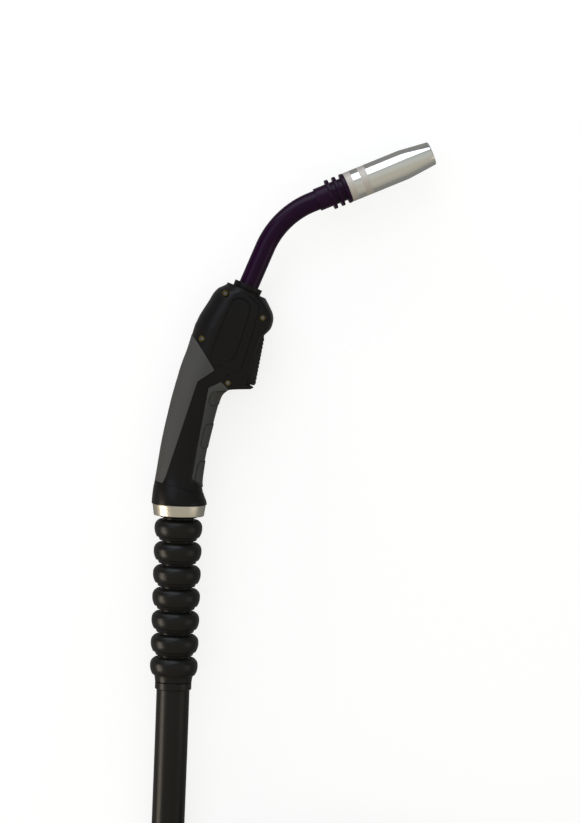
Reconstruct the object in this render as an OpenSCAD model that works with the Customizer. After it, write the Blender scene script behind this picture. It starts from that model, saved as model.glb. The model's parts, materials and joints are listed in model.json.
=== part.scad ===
// Gas-cooled MIG welding torch with an articulated cable guard, lying on its side.
// The torch is drawn about the cable axis (Y) with its middle plane at z = 0,
// and placed() then stands it on the bench with the origin under its centre.

/* [Handle] */
// Largest radius of the collar at the foot of the handle
collar_r = 24.2; // [23.6:0.1:25]
// Wall of the two moulded handle shells
shell_wall = 3.4; // [2.8:0.1:4]
// Depth of the rubber grip pads in the shells
pad_depth = 1.6; // [1.2:0.1:2]
// How far the raised finger patches stand out of the front pad
patch_rise = 0.6; // [0.3:0.1:1]
// Depth of the plain side panels
panel_depth = 0.5; // [0.3:0.1:0.9]
// Half of the width of the upper housing
housing_half = 22.4; // [21:0.1:23.4]
// Half of the width of the grip where the hand closes round it
grip_half = 18; // [17:0.1:19.5]
// Radius of the four case screws
screw_r = 1.5; // [1.2:0.1:1.8]
// Radius of the brass inserts
insert_r = 2.7; // [2.4:0.1:3.2]
// Length of the brass inserts
insert_len = 9; // [6:0.5:12]

/* [Trigger] */
// Half of the trigger's width
trigger_half = 11; // [9:0.5:12]
// Length of the trigger from its pivot to its free end
trigger_len = 47.4; // [44:0.1:47.6]
// Distance of the pressed face from the pivot
trigger_face = 5.1; // [4.6:0.1:5.4]
// Wall of the trigger
trigger_wall = 2.4; // [2:0.1:3]
// Angle that the trigger turns when pressed
trigger_swing = 6; // [4:0.5:6.5]
// Number of fine ribs on the pressed face
trigger_ribs = 20; // [12:1:24]
// Radius of the pivot pin
pivot_r = 1.6; // [1.3:0.1:1.8]
// Distance of the switch plunger below the pivot
plunger_drop = 14; // [12:0.5:16]

/* [Neck] */
// Lean of the lower neck from the cable axis
neck_lean = 21.6; // [21:0.1:22.4]
// Angle of the bend in the neck
neck_bend = 44.4; // [40:0.1:50]
// Radius of the bend along the middle of the tube
bend_r = 75; // [65:1:82]
// Outer radius of the insulated neck tube
neck_r = 8.75; // [8:0.05:9.2]
// Wall of the insulated neck tube
neck_wall = 1.6; // [1.2:0.1:2]
// Outer radius of the brass conductor inside the neck
conductor_r = 6.6; // [6:0.1:6.8]
// Outer radius of the wire liner
liner_r = 2.4; // [2:0.1:2.8]
// Wall of the wire liner
liner_wall = 0.9; // [0.7:0.1:1]
// Distance from the bend's corner down to the top of the housing
neck_drop = 69.8; // [68:0.1:71]
// Radius of the collar that clamps the neck
clamp_r = 12.7; // [12.2:0.1:14]
// Height of that collar
clamp_h = 3.9; // [3:0.1:6]

/* [Nozzle] */
// Distance from the bend's corner to the start of the insulator sleeve
sleeve_start = 36; // [34:0.5:40]
// Body radius of the insulator sleeve
sleeve_r = 10.1; // [9.8:0.1:10.6]
// Radius of the insulator's three flanges
flange_r = 13.4; // [12.6:0.1:14]
// Thickness of each flange
flange_t = 3; // [2:0.1:3.4]
// Distance between two flanges
flange_pitch = 6.9; // [6:0.1:7.4]
// Distance from the bend's corner to the foot of the gas nozzle
nozzle_start = 64.7; // [64:0.1:68]
// Length of the gas nozzle
nozzle_len = 79.8; // [74:0.1:86]
// Length of the cylindrical part of the nozzle
nozzle_body = 53; // [48:0.5:58]
// Outer radius of the nozzle
nozzle_r = 13.2; // [12.8:0.1:13.8]
// Outer radius of the nozzle at its mouth
mouth_r = 10.4; // [9.6:0.1:11.2]
// Wall of the nozzle
nozzle_wall = 2.3; // [1.8:0.1:2.6]
// Bore radius of the contact tip
wire_r = 0.8; // [0.6:0.1:1]
// Outer radius of the contact tip
tip_r = 4; // [3.6:0.1:4.6]
// Distance of the contact tip behind the nozzle's mouth
tip_back = 3; // [1:0.5:6]

/* [Cable guard] */
// Number of ball links
link_n = 7; // [7:1:7]
// Distance between two ball centres
link_pitch = 20.2; // [19.8:0.1:21]
// Distance of the first ball centre below the handle
first_ball = 23.6; // [23.2:0.1:25]
// Outer radius of a link
link_r = 20.75; // [20.4:0.05:21.5]
// Radius of the balls
ball_r = 17; // [16.4:0.1:17.2]
// Play between ball and socket
ball_play = 0.4; // [0.3:0.05:0.5]
// Bore radius through the balls
link_bore = 11.8; // [11.4:0.1:12]
// Angle that each ball turns to either side
link_swing = 6; // [3:0.5:6.5]
// Height of the silver union ring
ring_h = 10.4; // [10.2:0.1:11]
// Radius of the union ring at its top
ring_r = 23.35; // [22.8:0.05:23.8]
// Radius of the union ring at its foot
ring_foot_r = 21.9; // [21.4:0.1:22.6]
// Radius of the end sleeve that clamps the hose
sleeve_end_r = 16; // [15.4:0.1:17]
// Length of the end sleeve
sleeve_end_h = 6.9; // [6:0.1:9]

/* [Hose and plug] */
// Diameter of the hose
hose_d = 29; // [28:0.5:29]
// Radius of the power cable inside the links and the handle
cable_r = 9; // [8:0.5:9.5]
// Outer radius of the plug's union nut
nut_r = 24.6; // [23.5:0.1:24.9]
// Radius of the plug's housing
plug_r = 21.8; // [21:0.1:22.4]
// Radius of the plug's brass spigot
spigot_r = 9.9; // [9:0.1:10.4]
// Length of the plug's brass spigot
spigot_len = 35; // [30:1:38]
// Radius of the two contact pins
pin_r = 1.8; // [1.4:0.1:2]
// Travel of the two contact pins
pin_travel = 3; // [2:0.5:4]

/* [Hidden] */

fit = 0.1;            // gap between pieces that seat in each other
run = 0.05;           // radial play of a pin or a slide
seam = 0.6;           // gap where a moving piece passes a still one
step = 0.3;           // the pads and the collar stand this much out of the shells
far = 200;            // longer than anything that is cut
round_n = 64;         // facets of a round part
bench_z = collar_r;   // height of the middle plane above the bench

// -- places along the neck: distances run from the corner of its bend --------
up_angle = 90 - neck_lean;
tip_angle = up_angle - neck_bend;
corner = [78.8, 254.3];
bend_t = bend_r * tan(neck_bend / 2);
function ray(a, s) = [s * cos(a), s * sin(a)];
function neck_at(s) = corner - ray(up_angle, s);
function tip_at(s) = corner + ray(tip_angle, s);
nozzle_end = nozzle_start + nozzle_len;

// -- places along the cable guard --------------------------------------------
last_ball = -first_ball - (link_n - 1) * link_pitch;
skirt_foot = 8.4;                        // the visible foot of a link below its ball centre
sleeve_top = last_ball - skirt_foot - 3.3;
chain_end = sleeve_top - sleeve_end_h;

// -- the origin: under the middle of the torch's box --------------------------
x_low = -collar_r;
x_high = tip_at(nozzle_end)[0] + mouth_r * sin(tip_angle);
y_high = tip_at(nozzle_end)[1] + mouth_r * cos(tip_angle);
origin = [(x_low + x_high) / 2, (chain_end + y_high) / 2];
module placed() translate([-origin[0], -origin[1], bench_z]) children();
module on_bench() translate([-origin[0], -origin[1], 0]) children();
module upright() rotate([-90, 0, 0]) children();
module moulded() resize([0, 0, 0]) children();

// -- side outline of the handle: back point, front point, half width, depth of
//    the back rounding and depth of the front rounding ------------------------
top_back = neck_at(neck_drop) + ray(up_angle + 90, 16.2);
top_front = neck_at(neck_drop) + ray(up_angle - 90, 17.4);
stations = [
    [-collar_r, 0, collar_r, 0, collar_r, collar_r - 0.1, collar_r - 0.1],
    [-24, 4.5, 23.5, 3.5, collar_r - 0.4, 23.6, 23.4],
    [-23.3, 12.5, 21.4, 8.5, collar_r - 2, 22.4, 21],
    [-22.2, 19.5, 19.9, 15, grip_half + 1.8, 21, 18.5],
    [-20.8, 29, 19.6, 24, grip_half + 0.3, 20.4, 17],
    [-16.9, 57, 23.2, 50.7, grip_half, 20, 16.5],
    [-10.6, 89, 30.1, 82.5, grip_half + 1, 20, 16],
    [-7.6, 101.5, 33, 93.6, grip_half + 1.8, 20, 14],
    [-6.4, 106.5, 36.4, 98.7, grip_half + 2.3, 20, 11],
    [-5.4, 110, 42.5, 101.6, housing_half - 1.7, 20, 8],
    [-4.4, 114, 59, 102.8, housing_half - 1.2, 20, 5],
    [-3.9, 116, 61.4, 104.2, housing_half - 1, 20, 4],
    [-3.2, 118.5, 54.8, 107.4, housing_half - 0.8, 20, 5],
    [-0.9, 126, 57, 115.5, housing_half - 0.4, 20, 6],
    [2.6, 136, 60.3, 127.5, housing_half - 0.2, 20, 6],
    [8, 155.5, 66, 147.4, housing_half, 20, 6],
    [9.8, 160, 69.4, 150, housing_half, 20, 6],
    [12, 165, 74.4, 154.8, housing_half - 0.1, 20, 6],
    [14, 168.6, 76.3, 159.2, housing_half - 0.2, 19.5, 6.5],
    [17, 173.6, 77.1, 164.2, housing_half - 0.4, 19, 7],
    [20.3, 179, 76.2, 169.3, housing_half - 1, 18, 8],
    [23.6, 185, 73.8, 174.4, housing_half - 2, 17, 9],
    [27.6, 189.6, 71.3, 178.9, housing_half - 3.4, 16, 11],
    [33.4, 192.4, 70, 181.2, housing_half - 4.8, 15.5, 13],
    [top_back[0], top_back[1], top_front[0], top_front[1], housing_half - 6, 15, 15]];
rim_y = 14.8;         // height of the collar's slanted rim on the cable axis
rim_tilt = 13.5;      // slant of that rim

// one cross-section, drawn in by 'inset' all round: elliptic back and front, flat sides
function section(st, inset, nb, nf) =
    let (
        back = [st[0], st[1]],
        front = [st[2], st[3]],
        span = norm(front - back),
        e = (front - back) / span,
        rb = max(st[5] - inset, 1),
        rf = max(st[6] - inset, 1),
        h = st[4] - inset,
        upper = concat(
            [for (i = [0 : nb]) [inset + rb * (1 - cos(90 * i / nb)), h * sin(90 * i / nb)]],
            [for (i = [0 : nf]) [span - inset - rf * (1 - sin(90 * i / nf)), h * cos(90 * i / nf)]]),
        lower = [for (i = [len(upper) - 2 : -1 : 1]) [upper[i][0], -upper[i][1]]])
    [for (p = concat(upper, lower)) [back[0] + e[0] * p[0], back[1] + e[1] * p[0], p[1]]];

// closed skin over a list of rings with equal numbers of points
module skin(rings) {
    m = len(rings[0]);
    n = len(rings);
    sides = [
        for (i = [0 : n - 2])
            for (j = [0 : m - 1])
                let (a = i * m + j, b = i * m + (j + 1) % m, c = a + m, d = b + m)
                    each [[a, d, b], [a, c, d]]];
    caps = [[for (j = [0 : m - 1]) j], [for (j = [m - 1 : -1 : 0]) (n - 1) * m + j]];
    polyhedron(points = [for (r = rings) each r], faces = concat(sides, caps), convexity = 8);
}

// the whole handle as one smooth body, from every station or from every second one
module handle_form(inset, nb = 5, nf = 4, every = 1)
    skin([for (i = [0 : every : len(stations) - 1]) section(stations[i], inset, nb, nf)]);

// round tube along a route, with one corner of every ring pointing straight down
module tube(route, r, sides) {
    n = len(route);
    rings = [for (i = [0 : n - 1])
        let (
            t = route[min(i + 1, n - 1)] - route[max(i - 1, 0)],
            across = cross(t, [0, 0, 1]) / norm(cross(t, [0, 0, 1])),
            over = cross(across, t) / norm(t))
        [for (j = [0 : sides - 1])
            route[i] + r * (across * cos(270 - 360 * j / sides) + over * sin(270 - 360 * j / sides))]];
    skin(rings);
}

// -- handle shells and pads ------------------------------------------------------
// screws: place in the side view and height of the spot face on the right shell
screws = [
    [33.2, 185.6, housing_half - 7.8], [14, 145.8, housing_half - 5.2],
    [66, 165.7, housing_half - 1.8], [37.6, 108.2, housing_half - 2.4]];
boss_r = 4.4;
spot_r = insert_r + 0.5;
head_r = 2.8;
head_h = 2.4;
pivot = [64.5, 153.5];
trigger_lean = 9;     // lean of the pressed face from the cable axis
carrier_half = 17;    // half width of the plate that carries the switch
carrier_x = -12.7;    // front of that plate, seen from the pivot
carrier_t = 1.8;
carrier_top = -5;
carrier_foot = -40;
clamp_spigot_r = 10.6;
clamp_spigot_h = 12;

back_pad_edge = [[-40, 14], [-17, 17.3], [-13.6, 24.2], [11.1, 108.8], [25.5, 118.9], [-5, 165.5], [-40, 165.5]];
front_pad_edge = [[9.2, 23.8], [20.8, 103.3], [31.5, 109], [39.6, 101.3], [60, 60], [60, 8], [30, 11], [19, 14.6]];
panel_edge = [
    [22.8, 138.2], [37.4, 176.4], [41, 180.8], [45.1, 182.2], [49.5, 181.2], [53.2, 178], [54.5, 173.4],
    [53, 164.6], [43.9, 134.6], [40.5, 129], [29.1, 122.1], [25.8, 120.4], [20.4, 128.6]];
patches = [[14, 38], [50, 71], [88, 101]];   // foot and top of the raised finger patches

module column(edge, grow = 0)
    translate([0, 0, -far / 2]) linear_extrude(far) offset(delta = grow) polygon(edge);

module above_rim(gap = 0)
    translate([0, rim_y + gap, 0]) rotate([0, 0, -rim_tilt]) translate([-far, 0, -far]) cube(2 * far);

// everything outside the surface that lies 'depth' under the skin, within an edge
module sunk(edge, depth, grow)
    difference() {
        column(edge, grow);
        handle_form(depth);
    }

module at_pivot() translate([pivot[0], pivot[1], 0]) rotate([0, 0, -trigger_lean]) children();

module trigger_pocket() at_pivot() translate([0, 0, -trigger_half - seam]) {
    translate([-13.4, -trigger_len - seam, 0]) cube([40, trigger_len + seam - 3.5, 2 * (trigger_half + seam)]);
    translate([-13.4, -4, 0]) cube([13.4 + trigger_face + 0.5, 10, 2 * (trigger_half + seam)]);
}

// posts inside the shells: screw bosses, pivot bosses and rests for the switch plate
module posts() {
    for (s = screws) translate([s[0], s[1], -far / 2]) cylinder(r = boss_r, h = far, $fn = 12);
    for (side = [-1, 1]) scale([1, 1, side]) {
        at_pivot() translate([0, 0, trigger_half + seam]) cylinder(r = 4.2, h = far, $fn = 12);
        for (y = [carrier_top - 3, carrier_foot + 3])
            at_pivot() translate([carrier_x - carrier_t / 2, y, carrier_half + run])
                cylinder(r = 2.2, h = far, $fn = 8);
    }
}

module cavity() difference() {
    intersection() {
        handle_form(shell_wall, 4, 3, 2);
        translate([neck_at(neck_drop + 4)[0], neck_at(neck_drop + 4)[1], 0])
            rotate([0, 0, up_angle]) translate([-2 * far, -far, -far]) cube(2 * far);
    }
    posts();
}

module shell_skin() difference() {
    intersection() {
        handle_form(step);
        above_rim(fit);
    }
    cavity();
    sunk(back_pad_edge, pad_depth + fit, fit);
    sunk(front_pad_edge, pad_depth + fit, fit);
    sunk(panel_edge, step + panel_depth, 0);
    trigger_pocket();
}

module half(side) translate([-far, -far, side > 0 ? 0 : -2 * far]) cube(2 * far);

module along_neck(s) translate([neck_at(s)[0], neck_at(s)[1], 0]) rotate([0, 0, up_angle]) rotate([0, 90, 0]) children();
module along_tip(s) translate([tip_at(s)[0], tip_at(s)[1], 0]) rotate([0, 0, tip_angle]) rotate([0, 90, 0]) children();

module shell_bores() {
    along_neck(neck_drop + clamp_spigot_h + 1) cylinder(r = clamp_spigot_r + fit, h = 40, $fn = round_n);
    translate([pivot[0], pivot[1], -carrier_half]) cylinder(r = pivot_r + run, h = 2 * carrier_half, $fn = 32);
    for (s = screws) translate([s[0], s[1], -far / 2]) cylinder(r = screw_r + 0.2, h = far, $fn = 32);
}

module handle_shell_right() color("#1b1b1d") placed() difference() {
    moulded() intersection() {
        shell_skin();
        half(1);
    }
    shell_bores();
    for (s = screws) {
        translate([s[0], s[1], s[2] - insert_len]) cylinder(r = insert_r + run, h = insert_len + 1, $fn = 32);
        translate([s[0], s[1], s[2]]) cylinder(r = spot_r, h = 20, $fn = 32);
    }
}

module handle_shell_left() color("#1b1b1d") placed() difference() {
    moulded() intersection() {
        shell_skin();
        half(-1);
    }
    shell_bores();
    for (s = screws) translate([s[0], s[1], -far]) cylinder(r = head_r + 0.2, h = far - s[2] + head_h, $fn = 32);
}

module back_grip_pad() color("#6d6c72") placed() moulded() intersection() {
    sunk(back_pad_edge, pad_depth, 0);
    handle_form(0);
    above_rim(fit);
}

module front_grip_pad() color("#6d6c72") placed() moulded() intersection() {
    sunk(front_pad_edge, pad_depth, 0);
    above_rim(fit);
    union() {
        handle_form(0);
        intersection() {
            handle_form(-patch_rise);
            column(front_pad_edge, -1);
            for (p = patches) translate([0, p[0], -far]) cube([far, p[1] - p[0], 2 * far]);
        }
    }
}

// -- foot of the handle ---------------------------------------------------------
cable_way_r = link_bore + 0.7;
union_spigot_r = 20;
union_spigot_h = 5;
inner_sleeve_r = 14.2;
inner_sleeve_top = 30;

module base_collar() color("#151518") placed() difference() {
    union() {
        moulded() difference() {
            handle_form(0);
            above_rim();
        }
        upright() translate([0, 0, -union_spigot_h]) cylinder(r = union_spigot_r, h = union_spigot_h + 1, $fn = round_n);
        upright() cylinder(r = inner_sleeve_r, h = inner_sleeve_top, $fn = round_n);
    }
    upright() translate([0, 0, -union_spigot_h - 1]) cylinder(r = cable_way_r, h = far, $fn = round_n);
}

module case_screws() color("#8d8f92") placed() for (s = screws) translate([s[0], s[1], 0]) {
    translate([0, 0, -s[2] + head_h - 0.5]) cylinder(r = screw_r, h = 2 * s[2] - head_h, $fn = 32);
    translate([0, 0, -s[2]]) cylinder(r = head_r, h = head_h - 0.1, $fn = 32);
}

module brass_inserts() color("#a98544") placed()
    for (s = screws) translate([s[0], s[1], s[2] - insert_len + run]) difference() {
        cylinder(r = insert_r, h = insert_len, $fn = 32);
        translate([0, 0, -1]) cylinder(r = screw_r + run, h = insert_len + 2, $fn = 32);
    }

// -- trigger, drawn about its pivot: x towards the finger, y up the handle --------
hub_r = 4.4;
skirt_w = 1.8;
rib_rise = 0.5;
rib_first = -5.4;
rib_pitch = (trigger_len + rib_first - 1) / trigger_ribs;
spring_y = -34;
spring_r = 3.4;
spring_wire = 0.45;
spring_seat_r = 2.2;
trigger_inside = trigger_face - rib_rise - trigger_wall;

function trigger_side() = concat(
    [[0, 0], [trigger_face - rib_rise, -2.5]],
    [for (i = [0 : trigger_ribs - 1])
        let (y = rib_first - i * rib_pitch)
            each [
                [trigger_face - rib_rise, y],
                [trigger_face, y - 0.2 * rib_pitch],
                [trigger_face, y - 0.55 * rib_pitch],
                [trigger_face - rib_rise, y - 0.75 * rib_pitch]]],
    [[trigger_face - rib_rise, -trigger_len], [-7.2, -trigger_len], [-4.2, 0]]);

module trigger() color("#232325") placed() at_pivot() {
    difference() {
        union() {
            translate([0, 0, -trigger_half]) linear_extrude(2 * trigger_half) polygon(trigger_side());
            translate([0, 0, -trigger_half]) cylinder(r = hub_r, h = 2 * trigger_half, $fn = 48);
        }
        translate([-20, -trigger_len + trigger_wall, -trigger_half + skirt_w])
            cube([20 + trigger_inside, trigger_len - trigger_wall - hub_r - 0.6, 2 * (trigger_half - skirt_w)]);
        translate([0, 0, -trigger_half - 1]) cylinder(r = pivot_r + run, h = 2 * trigger_half + 2, $fn = 32);
    }
    translate([trigger_inside - 2.6, spring_y, 0]) rotate([0, 90, 0]) cylinder(r = spring_seat_r, h = 3, $fn = 24);
}

module trigger_pin() color("#a7a9ac") placed() at_pivot()
    translate([0, 0, -carrier_half + fit]) cylinder(r = pivot_r, h = 2 * (carrier_half - fit), $fn = 32);

// switch, its plate and the return spring
switch_half = 3.2;
switch_front = -2.2;
switch_len = 18;
plunger_w = 1.5;
plunger_tip = trigger_inside - 0.2;

module switch_carrier() color("#2c3a44") placed() at_pivot() difference() {
    union() {
        translate([carrier_x - carrier_t, carrier_foot, -carrier_half])
            cube([carrier_t, carrier_top - carrier_foot, 2 * carrier_half]);
        translate([carrier_x - 0.5, spring_y, 0]) rotate([0, 90, 0]) cylinder(r = spring_seat_r, h = 3.5, $fn = 24);
    }
    translate([carrier_x - carrier_t - 1, -plunger_drop - 7, -switch_half])
        cube([carrier_t + 2, 6, 2 * switch_half]);
}

module microswitch() color("#141414") placed() at_pivot() difference() {
    translate([carrier_x + fit, -plunger_drop - switch_len / 2, -switch_half])
        cube([switch_front - carrier_x - fit, switch_len, 2 * switch_half]);
    translate([switch_front - 4.5, -plunger_drop, 0]) rotate([0, 90, 0])
        cylinder(r = plunger_w + run, h = 6, $fn = 24);
}

module switch_plunger() color("#b33a2e") placed() at_pivot()
    translate([switch_front - 2.5, -plunger_drop, 0]) rotate([0, 90, 0])
        cylinder(r = plunger_w, h = plunger_tip - switch_front + 2.5, $fn = 24);

// helical spring of 'turns' coils along z, as one closed tube
module spring(r, wire, length, turns) {
    steps = 10 * turns;
    tube([for (i = [0 : steps])
        let (w = 360 * turns * i / steps, ramp = min(1, min(i, steps - i) / 10))
            [r * cos(w), r * sin(w), length * i / steps]], wire, 6);
}

module trigger_spring() color("#9aa0a4") placed() at_pivot()
    translate([carrier_x + spring_wire + fit, spring_y, 0]) rotate([0, 90, 0])
        spring(spring_r - spring_wire, spring_wire, trigger_inside - carrier_x - 2 * spring_wire - 2 * fit, 6);

// two thin leads from the switch down into the cable
lead_r = 0.7;
lead_gap = 2.4;
lead_route = [
    [45.6, 137.6], [42.2, 129.5], [35.6, 117], [29.6, 104.5], [25, 90], [21.4, 76], [17.6, 60], [15, 46], [13.4, 34]];
module switch_leads() color("#7c2f2a") placed()
    for (side = [-1, 1]) tube([for (p = lead_route) [p[0], p[1], side * lead_gap]], lead_r, 6);

// -- neck -------------------------------------------------------------------------
conductor_in = 4.2;
clamp_foot = neck_drop + clamp_spigot_h;
neck_foot = clamp_foot + 8;
block_top = neck_foot + 1.5;
block_len = 26;
block_r = 10.5;
conductor_foot = block_top + 10;
diffuser_start = sleeve_start + 22;

// middle line of the neck between two places, with a ring every few degrees of the bend
bend_centre = neck_at(bend_t) + bend_r * [sin(up_angle), -cos(up_angle)];
function neck_route(low, high) = [
    for (p = concat(
            [neck_at(low)],
            [for (i = [0 : 12]) bend_centre + ray(up_angle + 90 - neck_bend * i / 12, bend_r)],
            [tip_at(high)]))
        [p[0], p[1], 0]];

module neck_pipe(r_out, r_in, low, high, sides) difference() {
    tube(neck_route(low, high), r_out, sides);
    tube(neck_route(low + 1, high + 1), r_in, sides);
}

module neck_clamp_ring() color("#1d1a1f") placed() difference() {
    union() {
        along_neck(neck_drop - fit) cylinder(r = clamp_r, h = clamp_h - fit, $fn = round_n);
        along_neck(clamp_foot) cylinder(r = clamp_spigot_r, h = clamp_spigot_h + 1, $fn = round_n);
    }
    along_neck(clamp_foot + 1) cylinder(r = neck_r + run, h = 60, $fn = round_n);
}

module neck_tube() color("#2a1f2b") placed() neck_pipe(neck_r, neck_r - neck_wall, neck_foot, diffuser_start - fit, 24);
module neck_conductor() color("#b08d4c") placed()
    neck_pipe(conductor_r, conductor_in, conductor_foot, diffuser_start - fit, 16);
module wire_liner() color("#8e9396") placed()
    neck_pipe(liner_r, liner_r - liner_wall, block_top + block_len - 2, tip_seat - fit, 10);

module power_block() color("#b08d4c") placed() difference() {
    along_neck(block_top + block_len) cylinder(r = block_r, h = block_len, $fn = round_n);
    along_neck(conductor_foot + fit) cylinder(r = conductor_r + fit, h = 30, $fn = round_n);
    along_neck(block_top + block_len - 1.5) cylinder(r = liner_r + fit, h = 60, $fn = round_n);
}

// -- front end ----------------------------------------------------------------------
diffuser_r = 8;
diffuser_len = 38;
tip_seat = diffuser_start + 26;
tip_thread_r = 3;
insulator_front_r = nozzle_r - nozzle_wall - run;
insulator_front = nozzle_start + 13;
last_flange = nozzle_start - seam / 2 - flange_t;

module insulator_sleeve() color("#4b3a66") placed() difference() {
    union() {
        along_tip(sleeve_start) cylinder(r = sleeve_r, h = nozzle_start - seam / 2 - sleeve_start, $fn = round_n);
        for (i = [0 : 2]) along_tip(last_flange - i * flange_pitch)
            cylinder(r = flange_r, h = flange_t, $fn = round_n);
        along_tip(nozzle_start - 1) cylinder(r = insulator_front_r, h = insulator_front - nozzle_start + 1, $fn = round_n);
    }
    along_tip(sleeve_start - 1) cylinder(r = neck_r + fit, h = diffuser_start - sleeve_start + 1, $fn = round_n);
    along_tip(sleeve_start) cylinder(r = diffuser_r + fit, h = 60, $fn = round_n);
}

module gas_diffuser() color("#b98f4a") placed() difference() {
    along_tip(diffuser_start) cylinder(r = diffuser_r, h = diffuser_len, $fn = round_n);
    along_tip(diffuser_start - 1) cylinder(r = conductor_in, h = tip_seat - diffuser_start + 1, $fn = 48);
    along_tip(diffuser_start) cylinder(r = tip_thread_r, h = diffuser_len + 1, $fn = 48);
    for (w = [0 : 60 : 150]) along_tip(insulator_front + 3) rotate([0, 0, w]) rotate([90, 0, 0])
        cylinder(r = 1.2, h = 3 * diffuser_r, center = true, $fn = 24);
}

tip_front = nozzle_end - tip_back;
tip_shoulder = diffuser_start + diffuser_len + fit;
module contact_tip() color("#b5683c") placed() along_tip(tip_seat + fit) rotate_extrude($fn = 64) polygon([
    [wire_r, 0], [tip_thread_r - run, 0], [tip_thread_r - run, tip_shoulder - tip_seat - fit],
    [tip_r, tip_shoulder - tip_seat - fit], [tip_r, tip_front - tip_seat - 9],
    [0.62 * tip_r, tip_front - tip_seat - fit], [wire_r, tip_front - tip_seat - fit]]);

mouth_in = mouth_r - nozzle_wall + 0.2;
module gas_nozzle() color("#c9c8c6") placed() along_tip(nozzle_start) rotate_extrude($fn = 96) polygon([
    [nozzle_r - nozzle_wall, 0], [nozzle_r - 0.4, 0], [nozzle_r, 0.4], [nozzle_r, nozzle_body],
    [mouth_r, nozzle_len], [mouth_in, nozzle_len], [mouth_in, nozzle_len - 7],
    [nozzle_r - nozzle_wall, nozzle_body - 5]]);

// -- union ring and cable guard ------------------------------------------------------
// profiles are [radius, height]; heights run up the handle
ring_lip = 2.4;
neck_in = 13.6;       // radius of the slim waist over each ball
rim_h = 9.6;          // height of a link's rim over its ball centre
rim_r = 17.2;
lip_r = 18.9;
skirt_r = 15.9;
ball_cut = 5.2;       // the ball is cut flat this far below its centre
floor_h = 7.3;        // depth of the socket below its centre
barrel = 0.023;       // bulge of a link's side
side_half = 6;

module union_ring() color("#c8c5c0") placed() upright() rotate_extrude($fn = 96) polygon([
    [union_spigot_r + fit, -fit], [ring_r - 0.5, -fit], [ring_r, -fit - 0.5], [ring_foot_r + 0.1, -ring_h + 0.6],
    [ring_foot_r - 0.5, -ring_h], [rim_r + 0.5, -ring_h], [rim_r + 0.5, -ring_h + ring_lip],
    [union_spigot_r + fit, -ring_h + ring_lip]]);

// slim waist and ball that hang 'drop' below a piece's own origin
module ball_end(drop) {
    translate([0, 0, -drop]) cylinder(r = neck_in, h = drop - skirt_foot + 1, $fn = round_n);
    translate([0, 0, -drop]) intersection() {
        sphere(r = ball_r, $fn = 96);
        translate([0, 0, -ball_cut]) cylinder(r = 2 * ball_r, h = ball_cut + neck_in, $fn = round_n);
    }
}

module ball_adapter() color("#171719") placed() upright() difference() {
    union() {
        rotate_extrude($fn = 96) polygon([
            [0, -union_spigot_h - fit], [union_spigot_r - fit, -union_spigot_h - fit],
            [union_spigot_r - fit, -ring_h + ring_lip + fit], [rim_r + 0.4, -ring_h + ring_lip + fit],
            [rim_r + 0.4, -ring_h - 0.2], [skirt_r, -first_ball + link_pitch - skirt_foot],
            [neck_in, -first_ball + link_pitch - skirt_foot - 0.4], [0, -first_ball + link_pitch - skirt_foot - 0.4]]);
        translate([0, 0, link_pitch - first_ball]) ball_end(link_pitch);
    }
    translate([0, 0, -far]) cylinder(r = link_bore, h = 2 * far, $fn = round_n);
}

module link_body() rotate_extrude($fn = 96) polygon(concat(
    [[0, rim_h], [rim_r, rim_h], [rim_r + 1.3, rim_h - 0.6], [rim_r + 2.2, rim_h - 1.7]],
    [for (i = [side_half : -2 : -side_half]) [link_r - barrel * i * i, i]],
    [[lip_r + 0.2, -side_half - 0.4], [lip_r, -side_half - 1.2], [skirt_r, -skirt_foot],
     [neck_in, -skirt_foot - 0.4], [0, -skirt_foot - 0.4]]));

module socket() {
    intersection() {
        sphere(r = ball_r + ball_play, $fn = 96);
        translate([0, 0, -floor_h]) cylinder(r = 2 * ball_r, h = 2 * ball_r, $fn = round_n);
    }
    translate([0, 0, rim_h - 1]) cylinder(r1 = sqrt(pow(ball_r + ball_play, 2) - pow(rim_h - 1, 2)), r2 = rim_r - 1, h = 1.01,
        $fn = round_n);
}

module guard_link(i) color("#1a1a1c") placed() upright() translate([0, 0, -first_ball - (i - 1) * link_pitch])
    difference() {
        union() {
            link_body();
            if (i < link_n) ball_end(link_pitch);
            else translate([0, 0, -skirt_foot - 3.3 - sleeve_end_h])
                cylinder(r = neck_in, h = sleeve_end_h + 4, $fn = round_n);
        }
        socket();
        translate([0, 0, -far]) cylinder(r = link_bore, h = far, $fn = round_n);
    }

module link_1() guard_link(1);
module link_2() guard_link(2);
module link_3() guard_link(3);
module link_4() guard_link(4);
module link_5() guard_link(5);
module link_6() guard_link(6);
module link_7() guard_link(7);

module end_sleeve() color("#18181a") placed() upright() translate([0, 0, chain_end]) rotate_extrude($fn = 96) polygon([
    [neck_in + fit, 0], [sleeve_end_r - 0.8, 0], [sleeve_end_r, 0.8], [sleeve_end_r, sleeve_end_h - 0.8],
    [sleeve_end_r - 0.8, sleeve_end_h], [neck_in + fit, sleeve_end_h]]);

cable_route = concat(
    [[neck_at(block_top + block_len + fit)[0], neck_at(block_top + block_len + fit)[1], 0]],
    [for (p = [[31.4, 134.6], [24.6, 118.6], [17.8, 102], [11.8, 86], [7.6, 70], [4, 54], [1.6, 38], [0.3, 22], [0, 8]])
        [p[0], p[1], 0]],
    [[0, -20, 0], [0, chain_end + fit, 0]]);
module power_cable() color("#8c4a2c") placed() tube(cable_route, cable_r, 12);

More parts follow.
